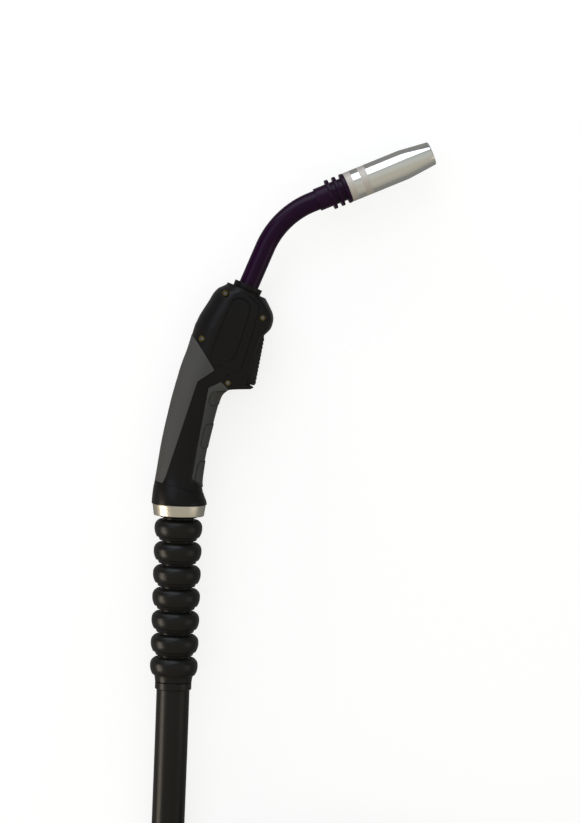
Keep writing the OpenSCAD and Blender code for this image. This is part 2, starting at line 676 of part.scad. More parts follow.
// -- hose: heights run from the bench ----------------------------------------------------
hose_r = hose_d / 2;
coil_outer = 160;
coil_centre = [coil_outer, -450];
coil_gap = 1;                        // free gap between neighbouring turns
coil_step = hose_d + coil_gap;       // spiral rate for each turn, and height of a layer
coil_in = 1.25;                      // turns that spiral in
coil_out = 1;                        // turns that spiral out again
loop_rings = 24;
run_route = [
    [0, chain_end, bench_z], [0, chain_end - 10, bench_z], [0, -190, 23.9], [0, -210, 23.2], [0, -235, 21.3], [0, -260, 19.1], [0, -285, 17.1],
    [0, -310, 15.7], [0, -335, 14.9], [0, -360, 14.6], [0, -390, hose_r], [0, coil_centre[1] + hose_d, hose_r]];

function smooth(u) = u <= 0 ? 0 : u >= 1 ? 1 : u * u * (3 - 2 * u);
// point of the coil after 'turn' turns from its leftmost point
function coil_at(turn) =
    let (
        r = coil_outer - coil_step * (turn < coil_in ? turn : 2 * coil_in - turn),
        w = 180 + 360 * turn)
    [coil_centre[0] + r * cos(w), coil_centre[1] + r * sin(w),
     hose_r + coil_step * smooth((turn - coil_in + 0.25) / 0.5)];
coil_turns = coil_in + coil_out;
coil_points = [for (i = [0 : round(coil_turns * loop_rings)]) coil_at(i / loop_rings)];
coil_last = coil_points[len(coil_points) - 1];
coil_route = concat(
    [[0, coil_centre[1] + hose_d, hose_r], [0, coil_centre[1] + hose_d / 2, hose_r]],
    coil_points,
    [coil_last + [hose_d / 2, 0, 0], coil_last + [hose_d, 0, 0]]);
least_gap = min([
    for (i = [0 : len(coil_points) - 1])
        for (j = [i + loop_rings / 2 : 1 : len(coil_points) - 1]) norm(coil_points[i] - coil_points[j])]) - hose_d;
echo("least gap of the coil to itself, mm", least_gap);

plug_z = 25;
plug_x = 292;
plug_y = coil_last[1];
// the tail lies on the coil, then dips to the plug's height: distance behind the plug and height
tail_dip = [[92, coil_last[2]], [76, 43.2], [60, 39.5], [44, 33.4], [27, 28.1], [15, 25.2], [6, plug_z], [0, plug_z]];
tail_route = concat(
    [coil_last + [hose_d, 0, 0]],
    [for (p = tail_dip) [plug_x - p[0], plug_y, p[1]]]);

module hose_run() color("#1e1e20") on_bench() tube(run_route, hose_r, 12);
module hose_coil() color("#1e1e20") on_bench() tube(coil_route, hose_r, 6);
module hose_tail() color("#1e1e20") on_bench() tube(tail_route, hose_r, 12);

// -- plug: z runs from the hose to the tip of the spigot -------------------------------------
boot_len = 44;
housing_len = 42;
nut_len = 28;
collar_in_r = 18.4;
flange_out_r = 20.4;
nut_back = boot_len + housing_len;
face_z = nut_back + 16;
core_r = 11.4;
pin_ring = 14.8;
nipple_r = 2.6;
pin_out = 8;
module at_plug() on_bench() translate([plug_x, plug_y, plug_z]) rotate([0, 90, 0]) children();
module pin_places() for (side = [-1, 1]) translate([0, side * pin_ring, 0]) children();

module plug_boot() color("#1b1b1d") at_plug() rotate_extrude($fn = round_n) polygon(concat(
    [[0, 0], [hose_r + 2, 0]],
    [for (i = [0 : 3]) each [
        [hose_r + 3 + i, 4 + 9 * i], [hose_r + 3 + i, 9 + 9 * i],
        [hose_r + 2 + i, 9.6 + 9 * i], [hose_r + 2 + i, 12.4 + 9 * i]]],
    [[hose_r + 5, boot_len], [0, boot_len]]));

module plug_housing() color("#202022") at_plug() difference() {
    union() {
        translate([0, 0, boot_len + fit]) rotate_extrude($fn = round_n) polygon([
            [0, 0], [plug_r - 1.5, 0], [plug_r, 1.5], [plug_r, housing_len - 0.6], [plug_r - 0.6, housing_len - fit],
            [0, housing_len - fit]]);
        translate([0, 0, nut_back - 1]) cylinder(r = collar_in_r, h = face_z - nut_back, $fn = round_n);
        translate([0, 0, face_z - 3]) cylinder(r = flange_out_r, h = 3, $fn = round_n);
    }
    translate([0, 0, boot_len + 10]) cylinder(r = core_r + fit, h = far, $fn = round_n);
    pin_places() translate([0, 0, face_z - 12]) cylinder(r = pin_r + run, h = 20, $fn = 24);
    translate([pin_ring, 0, face_z - 8]) cylinder(r = nipple_r + fit, h = 20, $fn = 32);
}

module plug_core() color("#b08d4c") at_plug() difference() {
    union() {
        translate([0, 0, boot_len + 10 + fit]) cylinder(r = core_r, h = face_z - boot_len - 10 - fit, $fn = round_n);
        translate([0, 0, face_z - 1]) cylinder(r = spigot_r, h = spigot_len + 1, $fn = round_n);
    }
    translate([0, 0, boot_len]) cylinder(r = liner_r + fit, h = far, $fn = 32);
}

nut_grips = 24;
module plug_union_nut() color("#2a2a2c") at_plug() translate([0, 0, nut_back + seam / 2]) difference() {
    rotate_extrude($fn = round_n) polygon([
        [collar_in_r + 2 * fit, 0], [nut_r - 1, 0], [nut_r, 1], [nut_r, nut_len - 1], [nut_r - 1, nut_len],
        [flange_out_r + 0.4, nut_len], [flange_out_r + 0.4, 11], [collar_in_r + 2 * fit, 11]]);
    for (i = [0 : nut_grips - 1]) rotate([0, 0, 360 * i / nut_grips]) translate([nut_r + 0.9, 0, 3])
        cylinder(r = 1.6, h = nut_len, $fn = 16);
}

module gas_nipple() color("#b08d4c") at_plug() translate([pin_ring, 0, face_z - 8 + fit]) difference() {
    union() {
        cylinder(r = nipple_r, h = 18, $fn = 32);
        translate([0, 0, 18]) cylinder(r1 = nipple_r, r2 = nipple_r - 0.7, h = 1.6, $fn = 32);
    }
    translate([0, 0, -1]) cylinder(r = 1.2, h = 40, $fn = 24);
}

pin_head = 9;                          // length of a pin inside the housing
module contact_pin(side) color("#c9a45a") at_plug() translate([0, side * pin_ring, face_z - 12 + pin_head - 2])
    cylinder(r = pin_r, h = 12 - pin_head + 2 + pin_out, $fn = 24);
module contact_pin_1() contact_pin(-1);
module contact_pin_2() contact_pin(1);

module pin_springs() color("#9aa0a4") at_plug() pin_places()
    translate([0, 0, face_z - 12 + 0.4]) spring(pin_r - 0.45, 0.3, pin_head - 2 - 0.8, 4);

module liner_nut() color("#b08d4c") at_plug() translate([0, 0, face_z + spigot_len + fit]) difference() {
    union() {
        cylinder(r = 5.4, h = 5, $fn = 6);
        cylinder(r = 3, h = 8, $fn = 32);
    }
    translate([0, 0, -1]) cylinder(r = 1.4, h = 20, $fn = 24);
}

handle_shell_right();
handle_shell_left();
back_grip_pad();
front_grip_pad();
base_collar();
case_screws();
brass_inserts();
trigger();
trigger_pin();
trigger_spring();
switch_carrier();
microswitch();
switch_plunger();
switch_leads();
neck_clamp_ring();
neck_tube();
neck_conductor();
wire_liner();
power_block();
insulator_sleeve();
gas_diffuser();
contact_tip();
gas_nozzle();
union_ring();
ball_adapter();
link_1();
link_2();
link_3();
link_4();
link_5();
link_6();
link_7();
end_sleeve();
power_cable();
hose_run();
hose_coil();
hose_tail();
plug_boot();
plug_housing();
plug_core();
plug_union_nut();
gas_nipple();
contact_pin_1();
contact_pin_2();
pin_springs();
liner_nut();
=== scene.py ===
import bmesh
import bpy
import json
import math
import numpy as np
from mathutils import Matrix


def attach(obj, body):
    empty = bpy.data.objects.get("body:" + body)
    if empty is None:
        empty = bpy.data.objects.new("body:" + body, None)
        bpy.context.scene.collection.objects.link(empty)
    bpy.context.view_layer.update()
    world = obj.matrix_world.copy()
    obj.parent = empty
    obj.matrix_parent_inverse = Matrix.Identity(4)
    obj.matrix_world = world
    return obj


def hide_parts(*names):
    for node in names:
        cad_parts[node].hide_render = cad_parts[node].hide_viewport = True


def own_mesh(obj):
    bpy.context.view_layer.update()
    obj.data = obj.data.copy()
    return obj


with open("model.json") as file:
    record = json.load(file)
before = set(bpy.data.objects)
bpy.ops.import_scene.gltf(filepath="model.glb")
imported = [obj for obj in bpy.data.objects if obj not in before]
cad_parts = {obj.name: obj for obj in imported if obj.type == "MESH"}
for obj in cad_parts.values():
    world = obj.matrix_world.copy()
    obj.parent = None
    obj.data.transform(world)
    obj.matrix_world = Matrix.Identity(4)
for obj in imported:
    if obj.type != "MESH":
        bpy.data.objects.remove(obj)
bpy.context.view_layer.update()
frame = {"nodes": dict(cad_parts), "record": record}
nodes = frame["nodes"]
scene = bpy.context.scene
print("frame loaded,", len(nodes), "nodes")

# lengths are mm in the torch frame: Y up the cable's axis, X towards the trigger, z = 0 in the middle plane
mm = 0.001
shift = np.array([-95.4187, -79.5872, 24.2])    # from the torch frame to the row frame


# torch frame in mm to row frame in metres
def row(p):
    return (np.asarray(p, float) + shift) * mm


# the vector over its length
def unit(v):
    return np.asarray(v, float) / np.linalg.norm(v)


# adds an object to the scene and hands it back
def intoScene(ob):
    scene.collection.objects.link(ob)
    return ob


# the three axes and the place as the columns of a matrix
def lookMatrix(right, up, back, place):
    m = np.eye(4)
    m[:3] = np.stack([right, up, back, place], 1)
    return Matrix(m.tolist())


# camera: far off, almost square on the torch's right side
cameraLook = {"toward": (-0.09, 0.071, 0.993), "up": (-0.0349, 0.9994, 0.0), "lookAt": (94.4, 83.4, 0),
              "distance": 4.0, "lens": 200, "sensor": 36}
viewDir = unit(cameraLook["toward"])
viewRight = unit(np.cross(cameraLook["up"], viewDir))
viewUp = np.cross(viewDir, viewRight)
lookAt = row(cameraLook["lookAt"])
camData = bpy.data.cameras.new("mainCamera")
camData.lens = cameraLook["lens"]
camData.sensor_width = cameraLook["sensor"]
camera = intoScene(bpy.data.objects.new("mainCamera", camData))
camera.matrix_world = lookMatrix(viewRight, viewUp, viewDir, lookAt + viewDir * cameraLook["distance"])
scene.camera = camera


# mesh with smooth shading; 'values' goes to a point attribute named along
def meshObject(name, verts, faces, smoothAngle=35, values=None):
    mesh = bpy.data.meshes.new(name)
    mesh.from_pydata(np.asarray(verts).tolist(), [], [list(f) for f in faces])
    mesh.update()
    ob = intoScene(bpy.data.objects.new(name, mesh))
    if values is not None:
        attribute = mesh.attributes.new("along", "FLOAT", "POINT")
        attribute.data.foreach_set("value", np.asarray(values, np.float32))
    smooth(ob, smoothAngle)
    return ob


# smooth faces, sharp where two of them meet at more than 'angle' degrees
def smooth(ob, angle):
    mesh = ob.data
    mesh.polygons.foreach_set("use_smooth", np.ones(len(mesh.polygons), bool))
    mesh.set_sharp_from_angle(angle=math.radians(angle))
    mesh.update()


# quads between neighbouring rings of 'around' points, each ring closed on itself
def gridFaces(rings, around):
    i = np.arange(rings - 1)[:, None]
    j = np.arange(around)[None, :]
    k = (j + 1) % around
    a, b = i * around + j, i * around + k
    return np.stack([a, b, b + around, a + around], -1).reshape(-1, 4)


# skin over a stack of rings, with the first and the last ring capped
def skinMesh(rings):
    n, m = rings.shape[:2]
    faces = [list(f) for f in gridFaces(n, m)]
    faces.append(list(range(m))[::-1])
    faces.append(list(range((n - 1) * m, n * m)))
    return rings.reshape(-1, 3), faces


# twice the area inside a closed outline, positive where it runs anticlockwise
def signedArea(p):
    return np.sum(p[:, 0] * np.roll(p[:, 1], -1) - np.roll(p[:, 0], -1) * p[:, 1])


# each corner becomes four points of a quadratic curve that leaves its sides where a circle of 'radius' would
def rounded(profile, radius, closed):
    p = np.asarray(profile, float)
    n = len(p)
    out = []
    for i in range(n):
        if not closed and i in (0, n - 1):
            out.append(p[i])
            continue
        before, here, after = p[i - 1], p[i], p[(i + 1) % n]
        a, b = before - here, after - here
        la, lb = np.linalg.norm(a), np.linalg.norm(b)
        turn = math.acos(max(-1, min(1, float(np.dot(a, b) / (la * lb)))))
        if turn > math.radians(165):
            out.append(here)
            continue
        back = min(radius / math.tan(turn / 2), 0.45 * la, 0.45 * lb)
        start, end = here + a / la * back, here + b / lb * back
        for t in (0, 0.3, 0.7, 1):
            out.append((1 - t) ** 2 * start + 2 * t * (1 - t) * here + t * t * end)
    return np.array(out)


# profile points (radius, height) turned about local z; 'place' maps the local frame to the torch frame
def lathe(name, profile, place, segments=96, radius=0.3, closed=True, smoothAngle=40):
    p = rounded(profile, radius, closed)
    w = np.linspace(0, 2 * math.pi, segments, endpoint=False)
    pts = np.empty((len(p), segments, 3))
    pts[..., 0] = p[:, 0, None] * np.cos(w)
    pts[..., 1] = p[:, 0, None] * np.sin(w)
    pts[..., 2] = p[:, 1, None]
    last, j = (len(p) - 1) * segments, np.arange(segments)
    faces = gridFaces(len(p), segments)
    if closed:
        k = (j + 1) % segments
        faces = np.concatenate([faces, np.stack([last + j, last + k, k, j], -1)])
    if signedArea(p) < 0:
        faces = faces[:, ::-1]
    flat = pts.reshape(-1, 3)
    world = row(flat @ place[:3, :3].T + place[:3, 3])
    if closed:
        return meshObject(name, world, faces, smoothAngle, flat[:, 2])
    capped = faces.tolist() + [j.tolist(), (last + j[::-1]).tolist()]
    ob = meshObject(name, world, capped, smoothAngle, flat[:, 2])
    facesOut(ob)
    return ob


# frame with its z along 'direction' and its x square to 'side'
def axisPlace(origin, direction, side=(0, 0, 1)):
    z = unit(direction)
    x = unit(np.cross(side, z)) if abs(np.dot(unit(side), z)) < 0.99 else unit(np.cross([0, 1, 0], z))
    m = np.eye(4)
    m[:3] = np.stack([x, np.cross(z, x), z, origin], 1)
    return m


# smooth curve through route points: Catmull-Rom, 'steps' points from one to the next
def curveThrough(route, steps):
    p = np.asarray(route, float)
    q = np.concatenate([[2 * p[0] - p[1]], p, [2 * p[-1] - p[-2]]])
    u = np.arange(steps)[None, :, None] / steps
    a, b, c, d = (q[k:len(q) - 3 + k, None] for k in range(4))
    out = 0.5 * (2 * b + (c - a) * u + (2 * a - 5 * b + 4 * c - d) * u * u + (3 * b - a - 3 * c + d) * u ** 3)
    return np.concatenate([out.reshape(-1, p.shape[1]), p[-1:]])


# a circle round each route point, square to the route's direction there
def tubeRings(route, radius, sides, upHint):
    r = np.asarray(route, float)
    t = np.gradient(r, axis=0)
    t /= np.linalg.norm(t, axis=1)[:, None]
    across = np.cross(t, np.asarray(upHint, float))
    across /= np.linalg.norm(across, axis=1)[:, None]
    over = np.cross(across, t)
    w = (-np.pi / 2 - 2 * np.pi * np.arange(sides) / sides)[None, :, None]
    return r[:, None] + float(radius) * (across[:, None] * np.cos(w) + over[:, None] * np.sin(w))


# length along the route up to each of its points
def along(route):
    return np.concatenate([[0], np.cumsum(np.linalg.norm(np.diff(route, axis=0), axis=1))])


# round tube of one radius along a route in the torch frame, with capped ends
def tubeObject(name, route, radius, sides=24, upHint=(0, 0, 1)):
    rings = tubeRings(route, radius, sides, upHint)[:, ::-1]
    verts, faces = skinMesh(row(rings))
    return meshObject(name, verts, faces, 40, np.repeat(along(route), sides))


# turns every face outwards, which the solver of the cuts needs
def facesOut(ob):
    bm = bmesh.new()
    bm.from_mesh(ob.data)
    bmesh.ops.recalc_face_normals(bm, faces=bm.faces)
    bm.to_mesh(ob.data)
    bm.free()
    ob.data.update()


# cuts, keeps or joins each tool in turn, then deletes it
def boolean(target, operation, *tools):
    for tool in tools:
        facesOut(tool)
        mod = target.modifiers.new("cut", "BOOLEAN")
        mod.operation = operation
        mod.solver = "MANIFOLD"
        mod.object = tool
        applyModifiers(target)
        bpy.data.objects.remove(tool)


# two-step bevel, 'width' mm wide, on edges that turn by more than 'angle' degrees
def addBevel(ob, width, angle):
    mod = ob.modifiers.new("bevel", "BEVEL")
    mod.width = width * mm
    mod.segments = 2
    mod.limit_method = "ANGLE"
    mod.angle_limit = math.radians(angle)


# puts the mesh that the modifiers give in the object's own mesh's place
def applyModifiers(ob):
    dg = bpy.context.evaluated_depsgraph_get()
    mesh = bpy.data.meshes.new_from_object(ob.evaluated_get(dg))
    ob.modifiers.clear()
    old = ob.data
    ob.data = mesh
    bpy.data.meshes.remove(old)


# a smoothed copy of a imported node, with a fine bevel along its sharp edges
def copyNode(node, bevel=0.25, angle=35):
    ob = nodes[node].copy()
    ob.data = nodes[node].data.copy()
    ob.parent = None
    ob.name = node + "_looks"
    ob.data.name = ob.name
    for key in list(ob.keys()):
        del ob[key]
    intoScene(ob)
    weld = ob.modifiers.new("weld", "WELD")
    weld.merge_threshold = 1e-6
    if bevel:
        addBevel(ob, bevel, angle)
    applyModifiers(ob)
    smooth(ob, angle)
    return ob


# sRGB hex to linear red, green, blue and alpha
def linear(hexColour):
    c = np.array([int(hexColour[i:i + 2], 16) for i in (0, 2, 4)]) / 255
    c = np.where(c <= 0.04045, c / 12.92, ((c + 0.055) / 1.055) ** 2.4)
    return (*c.tolist(), 1.0)


# shader node: 'values' holds a number, a colour or another node's output for each input
def addNode(tree, kind, values=None, **settings):
    node = tree.nodes.new("ShaderNode" + kind)
    for key, value in settings.items():
        setattr(node, key, value)
    for socket, value in (values or {}).items():
        if isinstance(value, bpy.types.NodeSocket):
            tree.links.new(value, node.inputs[socket])
        else:
            node.inputs[socket].default_value = value
    return node


# node tree of a material or a world, with nothing in it
def emptyTree(owner):
    owner.use_nodes = True
    owner.node_tree.nodes.clear()
    return owner.node_tree


# grainMm: size of the surface grain; grain: bump strength; patchy: how much roughness wanders;
# tint: how much the colour wanders; edge: radius of the softened edges in mm; shine: specular level
def finish(name, hexColour, roughness, metallic=0.0, grainMm=0.5, grain=0.0, patchy=0.05, tint=0.06,
           edge=0.25, shine=0.5):
    mat = bpy.data.materials.new(name)
    tree = emptyTree(mat)
    coords = addNode(tree, "TexCoord").outputs["Object"]
    wide = addNode(tree, "TexNoise", {"Scale": 45, "Detail": 4, "Vector": coords}).outputs[0]
    spread = addNode(tree, "MapRange", {"To Min": roughness - patchy, "To Max": roughness + patchy, 0: wide})
    base = np.array(linear(hexColour)[:3])
    darker, lighter = ((*(base * share).tolist(), 1) for share in (1 - tint, 1 + tint))
    shade = addNode(tree, "Mix", data_type="RGBA", values={0: wide, 6: darker, 7: lighter})
    normal = addNode(tree, "Bevel", {"Radius": edge * mm}, samples=4).outputs[0]
    if grain:
        fine = addNode(tree, "TexNoise", {"Scale": 1 / (grainMm * mm), "Detail": 2, "Vector": coords})
        bump = {"Strength": grain, "Distance": 0.1 * mm, "Height": fine.outputs[0], "Normal": normal}
        normal = addNode(tree, "Bump", bump).outputs[0]
    bsdf = addNode(tree, "BsdfPrincipled", {
        "Metallic": metallic, "IOR": 1.5, "Specular IOR Level": shine, "Roughness": spread.outputs[0],
        "Base Color": shade.outputs[2], "Normal": normal})
    addNode(tree, "OutputMaterial", {0: bsdf.outputs[0]})
    return mat


# one finish for each material slot of the record
materials = {
    "black_housing": finish("housingNylon", "110f0f", 0.32, grainMm=0.45, grain=0.1, shine=0.17, edge=0.35),
    "black_plastic": finish("linkNylon", "11100f", 0.32, grainMm=0.5, grain=0.06, shine=0.24),
    # painted light: the trigger is coloured lighter than the housing so that its sunken side, which lies in
    # shade, looks as bright as the cheeks
    "black_trigger": finish("triggerNylonPaintedLight", "242322", 0.42, grainMm=0.4, grain=0.1, shine=0.17),
    "grey_rubber": finish("gripRubber", "494949", 0.6, grainMm=0.35, grain=0.12, shine=0.13, edge=0.4),
    "zinc_steel": finish("zincSteel", "77787a", 0.4, metallic=1),
    "brass": finish("turnedBrass", "5f5022", 0.42, metallic=0.8),
    "spring_steel": finish("springSteel", "b9bcc0", 0.3, metallic=1),
    "slate_plastic": finish("switchPlate", "2c3a44", 0.5),
    "red_plastic": finish("switchButton", "b33a2e", 0.35),
    "lead_insulation": finish("leadInsulation", "7c2f2a", 0.45),
    "neck_cover": finish("neckCover", "1e0022", 0.2, patchy=0.03, shine=0.13),
    "purple_insulator": finish("sleeveInsulator", "200124", 0.26, patchy=0.03, shine=0.14),
    "copper": finish("tipCopper", "c08a62", 0.3, metallic=1),
    "nickel_ring": finish("ringNickel", "cdc8bb", 0.34, metallic=1, patchy=0.02, edge=0.3),
    "copper_braid": finish("cableJacket", "5a2e22", 0.6),
    "hose_rubber": finish("hoseRubber", "151413", 0.34, grainMm=0.6, grain=0.06, shine=0.22),
    "soft_boot": finish("bootRubber", "191818", 0.55, grainMm=0.5, grain=0.1, shine=0.16),
    "nut_plastic": finish("nutNylon", "252525", 0.5, grainMm=0.4, grain=0.1, shine=0.16),
    "gold_pin": finish("goldPin", "d9b464", 0.25, metallic=1),
    "chromed_copper": finish("nozzleChrome", "dededa", 0.1, metallic=1, patchy=0.02, tint=0.02),
}
blasted = {"bands": [(-0.5, 6.0), (13.0, 19.5)], "Roughness": 0.6, "Base Color": "cbc4bc", "Metallic": 0.55}


# dull bands of the nozzle: another finish where the distance from its foot lies in a band
def addBands(mat):
    tree = mat.node_tree
    bsdf = next(n for n in tree.nodes if n.type == "BSDF_PRINCIPLED")
    place = addNode(tree, "Attribute", attribute_name="along").outputs["Fac"]
    masks = []
    for low, high in blasted["bands"]:
        limits = {0: place, 1: (low + high) / 2, 2: (high - low) / 2}
        masks.append(addNode(tree, "Math", limits, operation="COMPARE").outputs[0])
    either = addNode(tree, "Math", {0: masks[0], 1: masks[1]}, operation="MAXIMUM").outputs[0]
    for socket, kind, first, result in (("Roughness", "FLOAT", 2, 0), ("Base Color", "RGBA", 6, 2),
                                        ("Metallic", "FLOAT", 2, 0)):
        target = bsdf.inputs[socket]
        usual = target.links[0].from_socket if target.is_linked else target.default_value
        dull = linear(blasted[socket]) if kind == "RGBA" else blasted[socket]
        mix = addNode(tree, "Mix", data_type=kind, values={0: either, first: usual, first + 1: dull})
        tree.links.new(mix.outputs[result], target)


addBands(materials["chromed_copper"])
slotOf = {s["node"]: s["material_slot"] for s in frame["record"]["subparts"]}


# gives a piece its node's finish and slot, the body it rides on and the nodes that it replaces
def dress(ob, node, body, replaced=None):
    ob.data.materials.clear()
    ob.data.materials.append(materials[slotOf[node]])
    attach(ob, body)
    if replaced is not False:
        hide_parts(*(replaced or [node]))
    return ob


print("materials ready,", len(materials))

# hose: run, coil and tail as one tube; the heights in these routes count from the bench
hoseSize = {"radius": 14.5, "sides": 32, "bench": -24.2, "start": -163.4, "coilStart": -435.5}
coil = {"centre": (160.0, -450.0), "outer": 160.0, "step": 30.0, "in": 1.25, "out": 1.0, "perTurn": 72}
plugSize = {"x": 292.0, "axis": 25.0, "bootRings": 4, "bootPitch": 9, "pinRing": 14.8, "springFoot": 90.4}
chainEnd = hoseSize["start"]
runRoute = [(0, chainEnd, 24.2), (0, chainEnd - 10, 24.2), (0, -190, 23.9), (0, -210, 23.2), (0, -235, 21.3),
            (0, -260, 19.1), (0, -285, 17.1), (0, -310, 15.7), (0, -335, 14.9), (0, -360, 14.6),
            (0, -390, 14.5), (0, -421, 14.5)]
# distance before the plug, height
tailEnd = [(76, 43.2), (60, 39.5), (44, 33.4), (27, 28.1), (15, 25.2), (6, 25.0), (0, 25.0)]


# 3u^2 - 2u^3 between 0 and 1
def smoothStep(u):
    u = np.clip(u, 0, 1)
    return u * u * (3 - 2 * u)


# radius shrinks by one step a turn up to coil["in"], then grows again; the climb is half a turn long
def coilPoints():
    turns = coil["in"] + coil["out"]
    t = np.linspace(0, turns, int(turns * coil["perTurn"]) + 1)
    r = coil["outer"] - coil["step"] * np.where(t < coil["in"], t, 2 * coil["in"] - t)
    w = np.pi + 2 * np.pi * t
    z = hoseSize["radius"] + coil["step"] * smoothStep((t - coil["in"] + 0.25) / 0.5)
    return np.stack([coil["centre"][0] + r * np.cos(w), coil["centre"][1] + r * np.sin(w), z], -1)


coilLine = coilPoints()
plugX = plugSize["x"]
leaveX, plugY, topZ = coilLine[-1].tolist()
tailRoute = [(plugX - 92, plugY, topZ), *((plugX - back, plugY, z) for back, z in tailEnd)]
hoseLine = np.concatenate([
    curveThrough(runRoute, 4), [(0, hoseSize["coilStart"], hoseSize["radius"])], coilLine,
    [(leaveX + 14.5, plugY, topZ), (leaveX + 29, plugY, topZ)], curveThrough(tailRoute, 4)])
hoseLine[:, 2] += hoseSize["bench"]
hose = tubeObject("hose", hoseLine, hoseSize["radius"], hoseSize["sides"])
dress(hose, "hose_run", "cable_set", ["hose_run", "hose_coil", "hose_tail"])

# plug: a boot of growing rings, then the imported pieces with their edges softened
plugZ = plugSize["axis"] + hoseSize["bench"]
plugPlace = axisPlace((plugX, plugY, plugZ), (1, 0, 0))
bootProfile = [(16.5, 0)]
for i in range(plugSize["bootRings"]):
    r, foot = 16.5 + i, plugSize["bootPitch"] * i
    bootProfile += [(r + 1, foot + 4), (r + 1, foot + 9), (r, foot + 9.6), (r, foot + 12.4)]
bootProfile += [(19.5, 44)]
boot = lathe("plug_boot_looks", bootProfile, plugPlace, 96, 0.8, closed=False)
plugPieces = [dress(boot, "plug_boot", "cable_set")]
for node, bevel, body in (("plug_housing", 0.4, "cable_set"), ("plug_core", 0.4, "cable_set"),
                          ("gas_nipple", 0.2, "cable_set"), ("liner_nut", 0.2, "cable_set"),
                          ("plug_union_nut", 0.4, "union_nut"), ("contact_pin_1", 0.4, "pin_near"),
                          ("contact_pin_2", 0.4, "pin_far")):
    plugPieces.append(dress(copyNode(node, bevel), node, body))
print("plug done")

# cable guard; heights in a link's profile count from the centre of the ball that it holds
guard = {"links": 7, "firstBall": 23.6, "pitch": 20.2, "ballR": 17.0, "ballFoot": 5.2, "socketR": 17.4,
         "waist": 13.6, "bore": 11.8, "barrelR": 20.95, "fullest": 2.0, "rim": 9.6, "cableR": 9}
upAxis = (0, 1, 0)
cableAxis = axisPlace((0, 0, 0), upAxis)


# height of the ball's centre in link i, one pitch below the link before it
def ballY(i):
    return -guard["firstBall"] - (i - 1) * guard["pitch"]


# ball one pitch below a link: a circle's arc from the waist down to the flat cut, and in to the bore
def ballProfile():
    r = guard["ballR"]
    w = np.linspace(math.acos(guard["waist"] / r), -math.asin(guard["ballFoot"] / r), 24)
    arc = [(r * math.cos(a), r * math.sin(a) - guard["pitch"]) for a in w]
    return [*arc, (guard["bore"], arc[-1][1])]


# round barrel on a narrower skirt: its radius falls with the cube of the height above the fullest place
# and with the square of the depth below it
def linkSide():
    full, r = guard["fullest"], guard["barrelR"]
    upper = [(r - 3.4 * ((h - full) / 7.3) ** 3, h) for h in np.linspace(9.1, 3, 9)]
    lower = [(r - 2.2 * ((h - full) / 7.4) ** 2, h) for h in np.linspace(full, -5.2, 9)]
    return [(17.0, guard["rim"]), *upper, *lower, (18.5, -5.6), (17.3, -5.75), (17.1, -6.1)]


# hollow of a sphere about the ball: a circle's arc from the bore below up to the rim
def linkSocket():
    r = guard["socketR"]
    w = np.linspace(-math.asin(7.3 / r), math.asin(8.6 / r), 24)
    return [(guard["bore"], -7.3), *((r * math.cos(a), r * math.sin(a)) for a in w), (16.2, guard["rim"])]


skirtEnd = [(16.1, -8.5), (guard["waist"], -8.8)]
lastEnd = [(16.3, -9.2), (16.2, -11.7), (13.6, -11.9), (13.6, -18.6), (11.8, -18.6)]
for i in range(1, guard["links"] + 1):
    isLast = i == guard["links"]
    profile = linkSide() + (lastEnd if isLast else skirtEnd + ballProfile()) + linkSocket()
    link = lathe("guard_link_%d_looks" % i, profile, axisPlace((0, ballY(i), 0), upAxis), 128, 0.35)
    dress(link, "link_%d" % i, "cable_set" if isLast else "guard_link_%d" % i)
adapter = [(19.9, -5.1), (19.9, -7.9), (17.6, -7.9), (17.6, -10.6), (15.9, -11.8), (13.6, -12.2)]
adapter += [(r, h + guard["pitch"] - guard["firstBall"]) for r, h in ballProfile()] + [(11.8, -5.1)]
dress(lathe("ball_adapter_looks", adapter, cableAxis, 128, 0.3), "ball_adapter", "handle")
ringProfile = [(20.1, -0.1), (22.85, -0.1), (23.35, -0.6), (22.0, -9.8), (21.4, -10.4), (17.7, -10.4),
               (17.7, -8), (20.1, -8)]
dress(lathe("union_ring_looks", ringProfile, cableAxis, 160, 0.4), "union_ring", "handle")
endProfile = [(13.7, chainEnd), (15.2, chainEnd), (16, chainEnd + 0.8), (16, -157.3), (15.2, -156.5),
              (13.7, -156.5)]
dress(lathe("end_sleeve_looks", endProfile, cableAxis, 128, 0.3), "end_sleeve", "cable_set")

# the cable bends with the guard, so each link carries its own length of it
cableRoute = [(31.4, 134.6, 0), (24.6, 118.6, 0), (17.8, 102, 0), (11.8, 86, 0), (7.6, 70, 0), (4, 54, 0),
              (1.6, 38, 0), (0.3, 22, 0), (0, 8, 0), (0, ballY(1), 0)]
cableTop = tubeObject("cable_in_handle", curveThrough(cableRoute, 6), guard["cableR"])
dress(cableTop, "power_cable", "handle")
for i in range(1, guard["links"] + 1):
    isLast = i == guard["links"]
    heights = np.linspace(ballY(i), chainEnd if isLast else ballY(i + 1), 3)
    piece = tubeObject("cable_in_link_%d" % i, [(0, y, 0) for y in heights], guard["cableR"])
    dress(piece, "power_cable", "cable_set" if isLast else "guard_link_%d" % i, False)
print("cable guard done")

